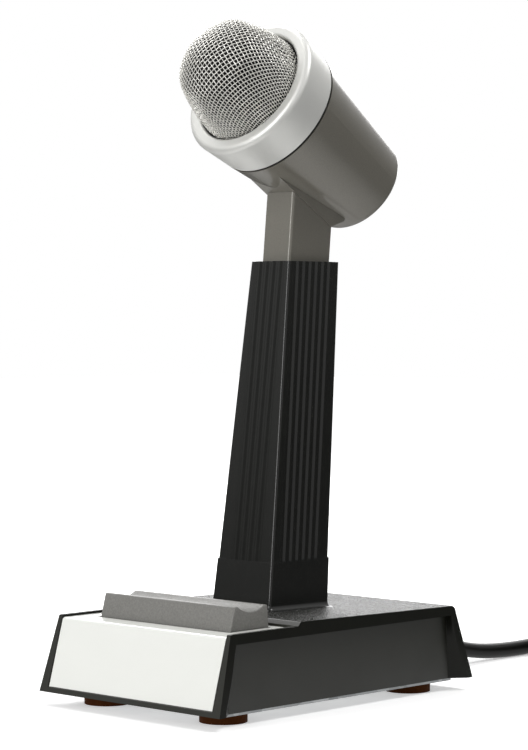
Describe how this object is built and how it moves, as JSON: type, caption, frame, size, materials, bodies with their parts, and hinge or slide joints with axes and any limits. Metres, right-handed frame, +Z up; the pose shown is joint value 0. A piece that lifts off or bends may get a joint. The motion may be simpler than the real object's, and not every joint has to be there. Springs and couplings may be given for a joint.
{
  "type": "desktop microphone",
  "caption": "Desktop press-to-talk microphone: black weighted base with a wide grey talk bar, fluted tapered column and a grey tapered head with a domed wire grille on a sliding neck.",
  "frame": {"origin": "on the table, under the middle of the base", "axes": "+Z up, -Y towards the talk bar and the speaker, +X to the right"},
  "size_m": [0.1474, 0.3266, 0.2647],
  "materials": {
    "moulded_black": "satin",
    "plate_aluminium": "satin",
    "galvanised_steel": "satin",
    "screw_steel": "satin",
    "ballast_iron": "matte",
    "board_laminate": "matte",
    "tag_brass": "satin",
    "bar_grey": "matte",
    "pin_steel": "satin",
    "leaf_brass": "satin",
    "column_black": "gloss",
    "head_paint": "gloss",
    "stop_nylon": "matte",
    "gasket_rubber": "matte",
    "ring_chrome": "satin",
    "grille_wire": "gloss",
    "foam_black": "matte",
    "case_aluminium": "satin",
    "case_plastic": "matte",
    "relief_rubber": "matte",
    "cord_vinyl": "satin",
    "tie_plastic": "matte",
    "plug_plastic": "satin",
    "foot_rubber": "matte"
  },
  "bodies": {
    "base": {"ballast_screws": "screw_steel", "ballast_weight": "ballast_iron", "bar_pivot_pin": "pin_steel", "base_cover": "moulded_black", "base_screws": "screw_steel", "board_screws": "screw_steel", "bottom_plate": "galvanised_steel", "coil_tie": "tie_plastic", "column": "column_black", "column_screws": "screw_steel", "cord_coil": "cord_vinyl", "cord_lead": "cord_vinyl", "cord_tail": "cord_vinyl", "foot_front_left": "foot_rubber", "foot_front_right": "foot_rubber", "foot_rear_left": "foot_rubber", "foot_rear_right": "foot_rubber", "front_plate": "plate_aluminium", "neck_spring": "pin_steel", "pin_clips": "pin_steel", "plug_boot": "relief_rubber", "plug_handle": "plug_plastic", "plug_insert": "case_plastic", "plug_pins": "pin_steel", "plug_shield": "pin_steel", "strain_relief": "relief_rubber", "switch_clamp": "pin_steel", "switch_insulators": "board_laminate", "switch_leaves": "leaf_brass", "switch_screws": "screw_steel", "terminal_board": "board_laminate", "terminal_tags": "tag_brass"},
    "talk_bar": {"press_bar": "bar_grey"},
    "head": {"neck": "head_paint", "neck_stop": "stop_nylon", "head_housing": "head_paint", "head_screws": "screw_steel", "head_gasket": "gasket_rubber", "bezel_ring": "ring_chrome", "grille": "grille_wire", "grille_foam": "foam_black", "cartridge_case": "case_aluminium", "cartridge_magnet": "ballast_iron", "cartridge_front": "case_plastic", "cartridge_mount": "gasket_rubber"}
  },
  "joints": [
    {"name": "talk_bar_hinge", "type": "hinge", "parent": "base", "child": "talk_bar", "pos_m": [0, -0.014, 0.0264], "axis": [1, 0, 0], "range_deg": [0, 4], "stiffness_Nm_per_rad": 0.05, "springref_deg": -11.46, "deforming": ["switch_leaves"]},
    {"name": "neck_slide", "type": "slide", "parent": "base", "child": "head", "axis": [0, 0.0959, 0.9954], "range_m": [-0.012, 0.044]}
  ]
}
